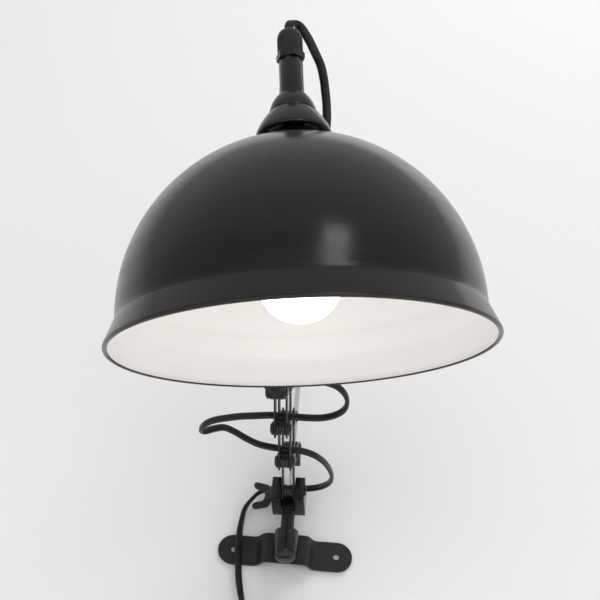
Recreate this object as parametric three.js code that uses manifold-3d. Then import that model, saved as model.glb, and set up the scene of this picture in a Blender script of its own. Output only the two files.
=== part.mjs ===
// Wall-mounted scissor-arm reading lamp: hat-strap bracket, swinging clamp block with a chrome post,
// three-cell lazy-tongs arm, swan neck, tilting spun-steel dome shade, and a flat flex with its plug.
// Millimetres, +Z up. The origin is the middle of the bracket on the wall plane. The wall is Y = 0,
// the lamp reaches out along -Y, and +X is to the right of someone facing the wall.
import * as THREE from 'three';
import { mergeVertices } from 'three/addons/utils/BufferGeometryUtils.js';
import Module from 'manifold-3d';

const wasm = await Module();
wasm.setup();

const rad = THREE.MathUtils.degToRad;

// ---- driving dimensions -------------------------------------------------------------------------
const GAP = 0.3; // clearance kept between touching pieces

const STRAP = { length: 131, height: 30, thick: 2.5, rise: 10.7, plateau: 41, ramp: 7, hole: 6, holeX: 50 };
const POST_Y = -25; // axis of the barrel, sleeve and post
const BARREL = { radius: 11.5, bottom: -18, top: 12, round: 8, bore: 3.6, boreBottom: -10 };
const SLEEVE_RADIUS = 6.5;
const POST = { radius: 3.25, bottom: -9, top: 188 };

const ARM_YAW = rad(-5.5); // the arm stands swung a little to the left
const ARM_PIVOT_Y = -41; // first pair of arm pivots
const ARM_PIVOT_Z = 47;
const CELLS = 3;
const BAR = { span: 75.7, slope: rad(40), width: 11, thick: 1.6, end: 9, hole: 3.0 };
const INNER_X = 4.4; // inside face of the inner bars
const OUTER_X = 6.3; // inside face of the outer bars
const DRUM = { radius: 6.2, half: 4.1 };
const RIVET = { shank: 2.7, head: 4.8, headThick: 1.4 };
const CELL_PITCH = BAR.span * Math.cos(BAR.slope);
const CELL_RISE = BAR.span * Math.sin(BAR.slope);

const BLOCK = { half: 16, front: -47, back: -15.6, bottom: 34, top: 59, channel: 6.5, channelBack: -31 };
const WING = { z: 49, hub: 5.5, out: 36, root: 24, spread: 12.5, tip: 3, thick: 3 };
const SLIDER_HALF_HEIGHT = 6.5;
const FRONT_POST_Y = -232.5;
const COLLAR_RADIUS = 9;
const NECK = { radius: 4, bore: 4.3, bottom: 40, straightTop: 140 };
const FRONT_BLOCK = { bottom: 39.5, top: 58 };

const RIM_CENTRE = new THREE.Vector3(0, -366.3, -17.6);
const LEAN_LEFT = rad(7.24);
const LEAN_OUT = rad(22.83);
const SHADE = { radius: 126.5, equator: 23.9, flareTop: 20, rim: 132.6, bead: 1.8, wall: 1.4, hole: 7.9 };
const STEM = { radius: 9, bore: 7.9, bottom: 172, top: 219.2 };
const NECK_TUBE = { radius: 7.5, bore: 5, bottom: 128, top: 200 };
const HEX = { across: 19, bottom: 219.5, top: 224.5, bore: 4.2 };
const GLAND = { radius: 9.5, bottom: 224.8, top: 243.5, dome: 235.5, bore: 3.6, flat: 5.2 };
const TILT = { along: 203, behind: 19, lug: 3, ear: 3, earRadius: 7, pin: 2.5 };
const BULB = { radius: 30, bottom: 19.5, top: 94, neck: 13 };
const HOLDER = { radius: 20, bottom: 96, top: 146, bore: 14.6 };

const CORD_RADIUS = 2.6;
const COIL = { x: 4, y: -9, z: -108, inner: 29.2, outer: 42.8, half: 6.9 };
const PLUG = { x: -50, top: -134, bottom: -170, width: 35, depth: 13.5, pinPitch: 19, pinLength: 19 };

// Cord routes, in the lamp's own frame: gland to arm, along the arm, down the wall, coil to plug.
const CORD_HEAD = [
  [-28.4, -460.2, 205.6], [-29, -461.8, 209.4], [-27.5, -461.8, 214], [-22, -458.5, 216],
  [-15, -452.5, 211], [-8, -444, 203.5], [-3, -436, 199], [0, -428, 194], [2, -420, 189], [4, -411, 182], [5, -400, 172],
  [3, -384, 159], [-5, -356, 145], [-16, -320, 128], [-27, -280, 110], [-37, -248, 98],
  [-42, -220, 91], [-39, -200, 87], [-31, -188, 85.4],
];
const CORD_ARM = [
  [-27.5, -186, 85], [-15.4, -185.2, 84.4], [-4, -186, 84.2], [9, -187, 82], [21, -187.5, 79], [33, -186, 76.5],
  [41, -180, 73], [44, -172, 70], [42, -164.5, 66.5], [35, -159.5, 63.5], [24, -157, 61], [12, -156.6, 60],
  [0, -156.4, 60], [-12.7, -156.4, 60], [-24, -156.4, 59.6], [-36.3, -155.5, 58.5], [-49, -153.5, 58],
  [-61.5, -150.5, 57], [-74, -146, 56], [-82, -139.5, 55], [-85.3, -131, 55], [-82.5, -122.5, 58.5],
  [-75, -117.5, 64.5], [-66, -114.5, 68.5], [-56, -111, 67], [-45, -106.5, 63.5], [-33, -102, 61],
  [-20, -99.5, 60.2], [-7.1, -98.7, 60], [5, -98, 60], [17.4, -94, 59.5], [27.5, -84, 59.8],
  [34.6, -70, 60.5], [39, -54, 61.5], [39.5, -40, 63], [36, -28, 64.5], [28, -17.5, 66], [15.8, -10.5, 67],
  [7, -8.9, 66.8], [0, -8.5, 66.6],
];
const CORD_DROP = [
  [-1, -8.5, 66.5], [-12, -8.6, 66], [-21, -9, 64], [-30, -9, 60], [-37, -9, 52], [-43, -9, 41],
  [-45, -8, 30], [-46, -7.5, 17], [-46, -6.8, -2], [-44, -6.5, -19], [-42, -6.5, -33],
  [-38, -6.5, -50], [-34, -7, -63], [-31.5, -7.6, -73],
];
const CORD_TAIL = [[-42, -9, -117], [-45, -9.2, -122.5], [-48.8, -9.1, -127.5], [-50, -9, -133.2]];

// ---- finishes -----------------------------------------------------------------------------------
const finish = (color, roughness, metalness) => new THREE.MeshStandardMaterial({ color, roughness, metalness });
const BLACK_ENAMEL = finish(0x101011, 0.22, 0.1);
const BLACK_STEEL = finish(0x1b1b1c, 0.45, 0.4);
const CHROME = finish(0xd8dadc, 0.08, 1);
const ZINC = finish(0xa9acb0, 0.35, 1);
const BLACK_PLASTIC = finish(0x18181a, 0.4, 0);
const OPAL_GLASS = finish(0xfbfaf5, 0.3, 0);
const CORD_PVC = finish(0x121213, 0.45, 0);

const lamp = new THREE.Group();

// ---- geometry helpers ---------------------------------------------------------------------------
/** Drops flat triangles, welds shared vertices and turns the faces outwards. */
function closed(geometry) {
  geometry.deleteAttribute('uv');
  geometry.deleteAttribute('normal');
  const welded = mergeVertices(geometry, 1e-4);
  const position = welded.attributes.position;
  const corner = (i) => new THREE.Vector3().fromBufferAttribute(position, i);
  const kept = [];
  let volume = 0;
  for (let i = 0; i < welded.index.count; i += 3) {
    const [a, b, c] = [0, 1, 2].map((k) => welded.index.getX(i + k));
    if (a === b || b === c || c === a) continue;
    kept.push([a, b, c]);
    volume += corner(a).dot(corner(b).cross(corner(c)));
  }
  welded.setIndex(kept.flatMap(([a, b, c]) => (volume < 0 ? [a, c, b] : [a, b, c])));
  return welded;
}

/** A manifold-3d solid of a closed geometry. */
function solid(geometry) {
  const shape = closed(geometry);
  return new wasm.Manifold(new wasm.Mesh({
    numProp: 3,
    vertProperties: new Float32Array(shape.attributes.position.array),
    triVerts: new Uint32Array(shape.index.array),
  }));
}

/** First geometry joined with some others, kept where it is common to others, less the cutters. */
function shaped(first, { joined = [], common = [], cut = [] } = {}) {
  let body = solid(first);
  for (const piece of joined) body = body.add(solid(piece));
  for (const piece of common) body = body.intersect(solid(piece));
  for (const piece of cut) body = body.subtract(solid(piece));
  const mesh = body.getMesh();
  const geometry = new THREE.BufferGeometry();
  geometry.setAttribute('position', new THREE.BufferAttribute(new Float32Array(mesh.vertProperties), 3));
  geometry.setIndex(new THREE.BufferAttribute(new Uint32Array(mesh.triVerts), 1));
  return geometry;
}

/** A solid turned about Z from a profile of [radius, height] points. */
function turned(profile, segments = 18) {
  const points = profile.map(([r, h]) => new THREE.Vector2(r, h));
  return new THREE.LatheGeometry(points, segments).rotateX(Math.PI / 2);
}

/** A ring turned about Z, with square section. */
function ring(inner, outer, bottom, top, segments = 18) {
  return turned([[inner, bottom], [outer, bottom], [outer, top], [inner, top], [inner, bottom]], segments);
}

/** A plain round rod along Z. */
function rod(radius, bottom, top, segments = 16) {
  return turned([[0, bottom], [radius, bottom], [radius, top], [0, top]], segments);
}

/** A round rod along X. */
function crossRod(radius, left, right, y, z, segments = 14) {
  return rod(radius, left, right, segments).rotateY(Math.PI / 2).translate(0, y, z);
}

/** A box from its lowest to its highest corner. */
function block(low, high) {
  const size = high.map((value, i) => value - low[i]);
  const middle = high.map((value, i) => (value + low[i]) / 2);
  return new THREE.BoxGeometry(...size).translate(...middle);
}

/** A flat outline of [x, y] points pulled along Z. */
function plate(points, depth) {
  const shape = new THREE.Shape(points.map(([x, y]) => new THREE.Vector2(x, y)));
  return new THREE.ExtrudeGeometry(shape, { depth, bevelEnabled: false });
}

/** A plate with straight sides, half-round ends and a row of pivot holes, lying along X. */
function stadium(length, width, depth, curveSegments, holes = []) {
  const reach = length / 2 - width / 2;
  const shape = new THREE.Shape();
  shape.absarc(reach, 0, width / 2, -Math.PI / 2, Math.PI / 2, false);
  shape.absarc(-reach, 0, width / 2, Math.PI / 2, (3 * Math.PI) / 2, false);
  shape.holes = holes.map((x) => {
    const hole = new THREE.Path();
    hole.absarc(x, 0, BAR.hole, 0, 2 * Math.PI, true);
    return hole;
  });
  return new THREE.ExtrudeGeometry(shape, { depth, bevelEnabled: false, curveSegments });
}

/** A round tube along a smooth curve through points. */
function tubeAlong(points, radius, steps, sides = 8) {
  const path = new THREE.CatmullRomCurve3(points.map((p) => new THREE.Vector3(...p)), false, 'centripetal');
  const section = new THREE.Shape();
  section.absarc(0, 0, radius, 0, 2 * Math.PI, false);
  return new THREE.ExtrudeGeometry(section, { steps, curveSegments: sides / 2, extrudePath: path });
}

function add(parent, name, geometry, material) {
  const mesh = new THREE.Mesh(closed(geometry), material);
  mesh.name = name;
  parent.add(mesh);
  return mesh;
}

// ---- wall bracket and pivot ---------------------------------------------------------------------
/** A round rod along Y at the height of the origin. */
function wallwardRod(radius, front, back, x = 0, segments = 16) {
  return rod(radius, front, back, segments).rotateX(-Math.PI / 2).translate(x, 0, 0);
}

/** Hat-shaped strap with round ends and a screw hole in each foot and in the plateau. */
function wallBracket() {
  const { length, height, thick, rise, plateau, ramp, hole, holeX } = STRAP;
  const [end, knee, crown] = [length / 2, plateau / 2 + ramp, plateau / 2];
  const outline = [
    [-end, 0], [-knee, 0], [-crown, -rise], [crown, -rise], [knee, 0], [end, 0],
    [end, -thick], [knee + 1, -thick], [crown + 1, -rise - thick],
    [-crown - 1, -rise - thick], [-knee - 1, -thick], [-end, -thick],
  ];
  const strap = plate(outline, height).translate(0, 0, -height / 2);
  const roundEnds = stadium(length, height, 40, 7).rotateX(Math.PI / 2).translate(0, 10, 0);
  return shaped(strap, {
    common: [roundEnds],
    cut: [-holeX, 0, holeX].map((x) => wallwardRod(hole / 2, -30, 10, x)),
  });
}

function barrel() {
  const { radius, bottom, top, round, bore, boreBottom } = BARREL;
  const turn = [0, 30, 60, 90].map((degrees) => [
    radius - round + round * Math.sin(rad(degrees)), bottom + round - round * Math.cos(rad(degrees)),
  ]);
  const profile = [[0, bottom], ...turn, [radius, top - 0.8], [radius - 0.8, top],
    [bore, top], [bore, boreBottom], [0, boreBottom]];
  return shaped(turned(profile, 22).translate(0, POST_Y, 0), { cut: [wallwardRod(2.8, -18, -12)] });
}

function base() {
  add(lamp, 'wall_bracket', wallBracket(), BLACK_STEEL);
  add(lamp, 'pivot_barrel', barrel(), BLACK_ENAMEL);
  const screwHead = wallwardRod(4.5, -STRAP.rise + GAP, -7.2);
  add(lamp, 'barrel_screw', shaped(screwHead, { joined: [wallwardRod(2.5, -17.5, -8)] }), ZINC);
  const sleeve = ring(BARREL.bore, SLEEVE_RADIUS, BARREL.top + GAP, BLOCK.bottom - GAP);
  add(lamp, 'pivot_sleeve', sleeve.translate(0, POST_Y, 0), BLACK_PLASTIC);
}

// ---- scissor arm, drawn straight out along -Y and then swung about the post -----------------------
const swung = new THREE.Group();
swung.position.set(0, POST_Y, 0);
swung.rotation.z = ARM_YAW;
const arm = new THREE.Group();
arm.position.set(0, -POST_Y, 0);
swung.add(arm);
lamp.add(swung);

const lowerPivot = (i) => [ARM_PIVOT_Y - i * CELL_PITCH, ARM_PIVOT_Z];
const upperPivot = (i) => [ARM_PIVOT_Y - i * CELL_PITCH, ARM_PIVOT_Z + CELL_RISE];
const middlePivot = (i) => [ARM_PIVOT_Y - (i + 0.5) * CELL_PITCH, ARM_PIVOT_Z + CELL_RISE / 2];

/** U-shaped block, bored for the post, the arm's first pivot and the wing screw. */
function clampBlock() {
  const { half, front, back, bottom, top, channel, channelBack } = BLOCK;
  return shaped(block([-half, front, bottom], [half, back, top]), {
    cut: [
      block([-channel, front - 1, bottom - 1], [channel, channelBack, top + 1]),
      rod(BARREL.bore, bottom - 1, top + 1, 20).translate(0, POST_Y, 0),
      crossRod(BAR.hole, -half - 1, half + 1, ...lowerPivot(0)),
      crossRod(3.2, -half - 1, 0, POST_Y, WING.z),
    ],
  });
}

/** Wing screw: shank, hub and two splayed wings with round tips. */
function wingScrew() {
  const { z, hub, out, root, spread, tip, thick } = WING;
  const left = -BLOCK.half - GAP;
  const wing = (side) => {
    const outline = [[-root + 6, side * 1.5], [-root + 4, side * hub], [-out + 2, side * (spread + tip)],
      [-out - 1, side * (spread + 1)], [-out, side * (spread - tip)], [-root, side * 1.2]];
    return plate(outline, thick).rotateX(Math.PI / 2).translate(0, POST_Y + thick / 2, z);
  };
  return shaped(crossRod(hub, -root, left, POST_Y, z), {
    joined: [crossRod(2.9, left - 2, -POST.radius - GAP, POST_Y, z), wing(1), wing(-1)],
  });
}

/** A collar bored for an upright rod, with a tongue carrying one of the arm's pivots. */
function pivotCollar({ rodY, bore, low, high, pivot, tongueHalf, body }) {
  const [pivotY, pivotZ] = pivot;
  const inward = Math.sign(pivotY - rodY);
  const tongue = block(
    [-tongueHalf, Math.min(pivotY, rodY + inward * 6), pivotZ - DRUM.radius],
    [tongueHalf, Math.max(pivotY, rodY + inward * 6), pivotZ + DRUM.radius],
  );
  return shaped(body, {
    joined: [tongue, crossRod(DRUM.radius, -tongueHalf, tongueHalf, pivotY, pivotZ)],
    cut: [rod(bore, low - 1, high + 1, 20).translate(0, rodY, 0),
      crossRod(BAR.hole, -20, 20, pivotY, pivotZ)],
  });
}

function rearSlider() {
  const [, z] = upperPivot(0);
  const [low, high] = [z - SLIDER_HALF_HEIGHT, z + SLIDER_HALF_HEIGHT];
  const body = block([-8, BLOCK.channelBack - 0.5, low], [8, -15, high]);
  return pivotCollar({ rodY: POST_Y, bore: 3.8, low, high, pivot: upperPivot(0), tongueHalf: 5.9, body });
}

function frontCollar(low, high, pivot, tongueHalf) {
  const body = rod(COLLAR_RADIUS, low, high, 20).translate(0, FRONT_POST_Y, 0);
  return pivotCollar({ rodY: FRONT_POST_Y, bore: NECK.bore, low, high, pivot, tongueHalf, body });
}

/** One flat bar of the lazy tongs, centred on the origin and lying along X. */
function bar() {
  const length = BAR.span + 2 * BAR.end;
  const geometry = stadium(length, BAR.width, BAR.thick, 5, [-BAR.span / 2, 0, BAR.span / 2]);
  return geometry.translate(0, 0, -BAR.thick / 2);
}

/** Hangs a bar at its middle pivot, sloping up (1) or down (-1) towards the lamp head. */
function addBar(name, cell, slope, x) {
  const [y, z] = middlePivot(cell);
  const along = new THREE.Vector3(0, -Math.cos(BAR.slope), slope * Math.sin(BAR.slope));
  const across = new THREE.Vector3(1, 0, 0).cross(along);
  const mesh = add(arm, name, bar(), BLACK_STEEL);
  mesh.quaternion.setFromRotationMatrix(new THREE.Matrix4().makeBasis(along, across, new THREE.Vector3(1, 0, 0)));
  mesh.position.set(x, y, z);
}

/** A rivet with a drum between the bars, or a plain one, headed outside the given half width. */
function rivet(gripHalf, withDrum) {
  const head = gripHalf + GAP;
  const side = withDrum ? [[DRUM.radius, DRUM.half], [RIVET.shank, DRUM.half]] : [];
  const half = [...side, [RIVET.shank, head], [RIVET.head, head], [RIVET.head - 1, head + RIVET.headThick],
    [0, head + RIVET.headThick]];
  const mirrored = half.map(([r, x]) => [r, -x]).reverse();
  return turned([...mirrored, ...half], 10).rotateY(Math.PI / 2);
}

function addRivet(name, pivot, gripHalf, withDrum) {
  add(arm, name, rivet(gripHalf, withDrum), BLACK_STEEL).position.set(0, ...pivot);
}

function scissorArm() {
  add(arm, 'clamp_block', clampBlock(), BLACK_ENAMEL);
  add(arm, 'rear_post', rod(POST.radius, POST.bottom, POST.top).translate(0, POST_Y, 0), CHROME);
  const cap = turned([[0, POST.top + GAP], [5, POST.top + GAP], [5, POST.top + 4], [3, POST.top + 6],
    [0, POST.top + 6]]);
  add(arm, 'post_cap', cap.translate(0, POST_Y, 0), BLACK_PLASTIC);
  add(arm, 'rear_wing_screw', wingScrew(), BLACK_STEEL);
  add(arm, 'rear_slider', rearSlider(), BLACK_ENAMEL);

  for (let cell = 0; cell < CELLS; cell += 1) {
    for (const [side, name] of [[-1, 'left'], [1, 'right']]) {
      addBar(`inner_bar_${cell + 1}_${name}`, cell, 1, side * (INNER_X + BAR.thick / 2));
      addBar(`outer_bar_${cell + 1}_${name}`, cell, -1, side * (OUTER_X + BAR.thick / 2));
    }
    addRivet(`middle_rivet_${cell + 1}`, middlePivot(cell), OUTER_X + BAR.thick, true);
  }
  const outside = OUTER_X + BAR.thick;
  addRivet('block_pivot_pin', lowerPivot(0), BLOCK.half, true);
  addRivet('rear_slider_rivet', upperPivot(0), outside, false);
  for (let joint = 1; joint < CELLS; joint += 1) {
    addRivet(`lower_rivet_${joint}`, lowerPivot(joint), outside, true);
    addRivet(`upper_rivet_${joint}`, upperPivot(joint), outside, true);
  }
  addRivet('front_block_rivet', lowerPivot(CELLS), outside, false);
  addRivet('front_slider_rivet', upperPivot(CELLS), INNER_X + BAR.thick, false);

  const frontBlock = frontCollar(FRONT_BLOCK.bottom, FRONT_BLOCK.top, lowerPivot(CELLS), 5.9);
  const screwHole = crossRod(2.6, 0, 20, FRONT_POST_Y, 50);
  add(arm, 'front_block', shaped(frontBlock, { cut: [screwHole] }), BLACK_ENAMEL);
  const setScrew = crossRod(2.2, NECK.radius + GAP, 10, FRONT_POST_Y, 50, 12);
  const knob = crossRod(3.6, COLLAR_RADIUS + GAP, 13, FRONT_POST_Y, 50, 16);
  add(arm, 'front_set_screw', shaped(setScrew, { joined: [knob] }), ZINC);
  const [, z] = upperPivot(CELLS);
  const slider = frontCollar(z - SLIDER_HALF_HEIGHT, z + SLIDER_HALF_HEIGHT, upperPivot(CELLS), DRUM.half);
  add(arm, 'front_slider', slider, BLACK_ENAMEL);
}

// ---- head, drawn upright about the shade's own axis with the rim plane at zero --------------------
const head = new THREE.Group();
const headUp = new THREE.Vector3(-Math.tan(LEAN_LEFT), -Math.tan(LEAN_OUT), 1).normalize();
const headBack = new THREE.Vector3(0, 1, 0).addScaledVector(headUp, -headUp.y).normalize();
const headRight = new THREE.Vector3().crossVectors(headBack, headUp);
head.quaternion.setFromRotationMatrix(new THREE.Matrix4().makeBasis(headRight, headBack, headUp));
head.position.copy(RIM_CENTRE);
lamp.add(head);
const inHead = (x, y, z) => new THREE.Vector3(x, y, z).applyQuaternion(head.quaternion).add(RIM_CENTRE);

/** Points of a line moved sideways by a distance, to the right of its direction. */
function offset(points, distance) {
  return points.map(([r, z], i) => {
    const [before, after] = [points[Math.max(i - 1, 0)], points[Math.min(i + 1, points.length - 1)]];
    const along = new THREE.Vector2(after[0] - before[0], after[1] - before[1]).normalize();
    return [r + along.y * distance, z - along.x * distance];
  });
}

/** Half-round dome, short skirt, trumpet flare and rolled bead, as one spun wall. */
function shade() {
  const { radius, equator, flareTop, rim, bead, wall, hole } = SHADE;
  const first = Math.asin(hole / radius);
  const dome = Array.from({ length: 10 }, (_, i) => {
    const angle = first + (i / 9) * (Math.PI / 2 - first);
    return [radius * Math.sin(angle), equator + radius * Math.cos(angle)];
  });
  const flare = new THREE.QuadraticBezierCurve(
    new THREE.Vector2(radius, flareTop), new THREE.Vector2(radius + 4.5, 10),
    new THREE.Vector2(rim + bead, bead));
  const outer = [...dome, ...flare.getPoints(4).map((p) => [p.x, p.y])];
  const roll = [30, 90, 150].map((degrees) => [
    rim + bead * Math.cos(rad(degrees)), bead - bead * Math.sin(rad(degrees)),
  ]);
  const inner = offset(outer, wall).reverse();
  inner[inner.length - 1][0] = hole;
  return turned([...outer, ...roll, ...inner, outer[0]], 40);
}

/** Two-tier bell that hides the stem's foot. */
function cap() {
  const outer = [[9.3, 191.6], [10.8, 190], [12.8, 187.5], [14.4, 185], [15.8, 182.2], [16.9, 178.6],
    [17.2, 177.4], [19.9, 173], [23.4, 168], [26.4, 162.4], [27.4, 159.2], [26.6, 157.6]];
  const inner = [[24.6, 157.9], [24.6, 160.4], [21.6, 167.4], [18.2, 172.2], [15.6, 176.6],
    [14.2, 181.4], [12.4, 185], [9.3, 188.6]];
  return turned([...outer, ...inner, outer[0]], 22);
}

/** Stem with a flat lug on its back for the tilt pin. */
function stem() {
  const { radius, bore, bottom, top } = STEM;
  const { along, behind, lug, earRadius, pin } = TILT;
  const eye = crossRod(earRadius - 0.5, -lug, lug, behind, along);
  const web = block([-lug, radius - 0.8, along - 5], [lug, behind, along + 5]);
  return shaped(ring(bore, radius, bottom, top, 20), {
    joined: [shaped(web, { joined: [eye] })],
    cut: [crossRod(pin + GAP, -20, 20, behind, along, 16)],
  });
}

function hexPlate() {
  const radius = HEX.across / Math.sqrt(3);
  const corners = Array.from({ length: 6 }, (_, i) => [
    radius * Math.cos(rad(60 * i + 12)), radius * Math.sin(rad(60 * i + 12)),
  ]);
  const body = plate(corners, HEX.top - HEX.bottom).translate(0, 0, HEX.bottom);
  return shaped(body, { cut: [rod(HEX.bore, HEX.bottom - 1, HEX.top + 1, 16)] });
}

function glandNut() {
  const { radius, bottom, top, dome, bore, flat } = GLAND;
  const crown = [15, 40, 65].map((degrees) => [
    flat + (radius - flat) * Math.cos(rad(degrees)), dome + (top - dome) * Math.sin(rad(degrees)),
  ]);
  return turned([[bore, bottom], [radius, bottom], [radius, dome], ...crown, [flat, top], [bore, top],
    [bore, bottom]], 18);
}

/** A60 bulb: a ball that draws in to the neck on a smooth curve. */
function bulbGlass() {
  const { radius, bottom, top, neck } = BULB;
  const centre = bottom + radius;
  const ball = [0, 18, 36, 54, 72, 90, 108, 120].map((degrees) => [
    radius * Math.sin(rad(degrees)), centre - radius * Math.cos(rad(degrees)),
  ]);
  return turned([...ball, [21.5, 72], [17, 80], [neck + 1, 88], [neck, top], [0, top]], 18);
}

function lampHolder() {
  const { radius, bottom, top, bore } = HOLDER;
  const hole = NECK_TUBE.radius + GAP;
  return turned([[hole, top], [16, top], [radius, top - 4], [radius, bottom], [bore, bottom],
    [bore, top - 12], [hole, top - 12], [hole, top]], 20);
}

function lampHead() {
  add(head, 'stem_tube', stem(), BLACK_ENAMEL);
  const { radius, bore, bottom, top } = NECK_TUBE;
  add(head, 'neck_tube', ring(bore, radius, bottom, top), BLACK_STEEL);
  add(head, 'bell_cap', cap(), BLACK_ENAMEL);
  add(head, 'shade', shade(), BLACK_ENAMEL);
  add(head, 'lock_nut', ring(radius + GAP, 12, 150.8, 154), ZINC);
  add(head, 'lamp_holder', lampHolder(), BLACK_PLASTIC);
  const screwCap = turned([[0, BULB.top + GAP], [13.2, BULB.top + GAP], [13.2, 118], [9, 123], [4.5, 126],
    [0, 126]]);
  add(head, 'bulb_screw_cap', screwCap, ZINC);
  add(head, 'bulb', bulbGlass(), OPAL_GLASS);
  add(head, 'hex_fitting', hexPlate(), BLACK_STEEL);
  add(head, 'gland_nut', glandNut(), BLACK_PLASTIC);
}

// ---- swan neck and tilt joint ---------------------------------------------------------------------
/** Fork at the tilt pin, in the head's frame: two ears and the bridge that joins them. */
function fork() {
  const { along, behind, lug, ear, earRadius, pin } = TILT;
  const inside = lug + GAP;
  const ears = [-1, 1].flatMap((side) => {
    const [low, high] = side < 0 ? [-inside - ear, -inside] : [inside, inside + ear];
    return [crossRod(earRadius, low, high, behind, along),
      block([low, behind, along - 5], [high, behind + 12, along + 5])];
  });
  const bridge = block([-inside - ear, behind + 8.5, along - 5], [inside + ear, behind + 13, along + 5]);
  return shaped(bridge, { joined: ears, cut: [crossRod(pin + GAP, -20, 20, behind, along, 16)] });
}

/** Upright that turns in the front block, bent over forwards to the fork. */
function swanNeck() {
  const foot = arm.localToWorld(new THREE.Vector3(0, FRONT_POST_Y, 0));
  const [x, y] = [foot.x, foot.y];
  const root = inHead(0, TILT.behind + 11, TILT.along);
  const rise = inHead(0, TILT.behind + 26, TILT.along + 1);
  const bend = [
    [x, y, NECK.straightTop - 1], [x, y, NECK.straightTop + 12], [x - 0.1, y - 8, NECK.straightTop + 34],
    [x - 0.4, y - 28, NECK.straightTop + 47], [x - 0.8, y - 60, NECK.straightTop + 51],
    [x - 1.4, y - 110, NECK.straightTop + 50], rise.toArray(), root.toArray(),
  ];
  const upright = rod(NECK.radius, NECK.bottom, NECK.straightTop, 12).translate(x, y, 0);
  const forkInPlace = fork().applyMatrix4(head.matrixWorld);
  return shaped(upright, { joined: [tubeAlong(bend, NECK.radius, 24, 12), forkInPlace] });
}

function tiltJoint() {
  lamp.updateMatrixWorld(true);
  add(lamp, 'swan_neck', swanNeck(), BLACK_ENAMEL);
  const { along, behind, lug, ear, pin } = TILT;
  const reach = lug + ear + 2 * GAP;
  const heads = [-1, 1].map((side) => crossRod(4.2, ...[side * reach, side * (reach + 1.4)].sort((a, b) => a - b),
    behind, along, 16));
  add(head, 'tilt_pin', shaped(crossRod(pin, -reach - 0.5, reach + 0.5, behind, along, 16), { joined: heads }), ZINC);
}

// ---- flex, coil and plug ---------------------------------------------------------------------------
function cordCoil() {
  const { x, y, z, inner, outer, half } = COIL;
  const chamfer = 2.2;
  const profile = [[inner + chamfer, -half], [outer - chamfer, -half], [outer, -half + chamfer],
    [outer, half - chamfer], [outer - chamfer, half], [inner + chamfer, half], [inner, half - chamfer],
    [inner, -half + chamfer], [inner + chamfer, -half]];
  return turned(profile, 28).rotateX(Math.PI / 2).translate(x, y, z);
}

/** Flat strap round the coil's section, low on the right-hand side. */
function coilTie() {
  const { x, y, z, inner, outer, half } = COIL;
  const [gap, thick, width] = [0.5, 1, 8];
  const frame = block([inner - gap - thick, -half - gap - thick, -width / 2],
    [outer + gap + thick, half + gap + thick, width / 2]);
  const opening = block([inner - gap, -half - gap, -width], [outer + gap, half + gap, width]);
  return shaped(frame, { cut: [opening] }).rotateY(rad(-30)).translate(x, y, z);
}

function plugBody() {
  const { x, top, bottom, width, depth } = PLUG;
  const [w, d] = [width / 2, depth / 2];
  const outline = [[-4.5, top], [4.5, top], [7.5, top - 8], [w - 2, top - 13], [w, top - 17], [w, bottom + 3],
    [w - 3, bottom], [-w + 3, bottom], [-w, bottom + 3], [-w, top - 17], [-w + 2, top - 13], [-7.5, top - 8]];
  return plate(outline, depth).rotateX(Math.PI / 2).translate(x, COIL.y + d, 0);
}

function flex() {
  add(lamp, 'cord_head', tubeAlong(CORD_HEAD, CORD_RADIUS, 26), CORD_PVC);
  add(lamp, 'cord_arm', tubeAlong(CORD_ARM, CORD_RADIUS, 38), CORD_PVC);
  add(lamp, 'cord_drop', tubeAlong(CORD_DROP, CORD_RADIUS, 12), CORD_PVC);
  add(lamp, 'cord_tail', tubeAlong(CORD_TAIL, CORD_RADIUS, 3), CORD_PVC);
  add(lamp, 'cord_coil', cordCoil(), CORD_PVC);
  add(lamp, 'coil_tie', coilTie(), BLACK_PLASTIC);
  add(lamp, 'plug_body', plugBody(), BLACK_PLASTIC);
  for (const [side, name] of [[-1, 'left'], [1, 'right']]) {
    const pin = rod(2, PLUG.bottom - GAP - PLUG.pinLength, PLUG.bottom - GAP, 12);
    add(lamp, `plug_pin_${name}`, pin.translate(PLUG.x + (side * PLUG.pinPitch) / 2, COIL.y, 0), ZINC);
  }
}

base();
scissorArm();
lampHead();
tiltJoint();
flex();

export default lamp;
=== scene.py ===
"""Wall-mounted scissor-arm reading lamp: the visible surfaces, finishes, flex, room and camera."""

import logging
from dataclasses import dataclass
from enum import Enum
from typing import Optional, Sequence

import bmesh
import bpy
import numpy as np
from mathutils import Matrix
from mathutils.geometry import delaunay_2d_cdt


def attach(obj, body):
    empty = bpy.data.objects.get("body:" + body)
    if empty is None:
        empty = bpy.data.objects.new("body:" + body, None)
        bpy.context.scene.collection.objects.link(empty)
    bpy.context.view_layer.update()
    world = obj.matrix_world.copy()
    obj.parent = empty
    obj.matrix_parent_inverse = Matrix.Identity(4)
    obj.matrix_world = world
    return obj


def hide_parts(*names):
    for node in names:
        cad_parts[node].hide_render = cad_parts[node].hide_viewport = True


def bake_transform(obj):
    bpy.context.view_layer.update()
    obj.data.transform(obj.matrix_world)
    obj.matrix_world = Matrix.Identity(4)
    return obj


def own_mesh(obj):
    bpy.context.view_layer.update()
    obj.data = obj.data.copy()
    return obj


log = logging.getLogger("reading_lamp")
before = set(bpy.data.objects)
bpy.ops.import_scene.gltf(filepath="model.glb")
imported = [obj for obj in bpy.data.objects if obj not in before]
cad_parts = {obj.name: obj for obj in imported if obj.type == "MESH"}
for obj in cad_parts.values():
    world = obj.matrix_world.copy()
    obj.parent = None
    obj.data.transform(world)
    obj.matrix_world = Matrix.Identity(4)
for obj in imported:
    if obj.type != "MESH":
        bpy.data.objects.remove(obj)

MM = 0.001
GAP = 0.3  # clearance between touching pieces, mm


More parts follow.
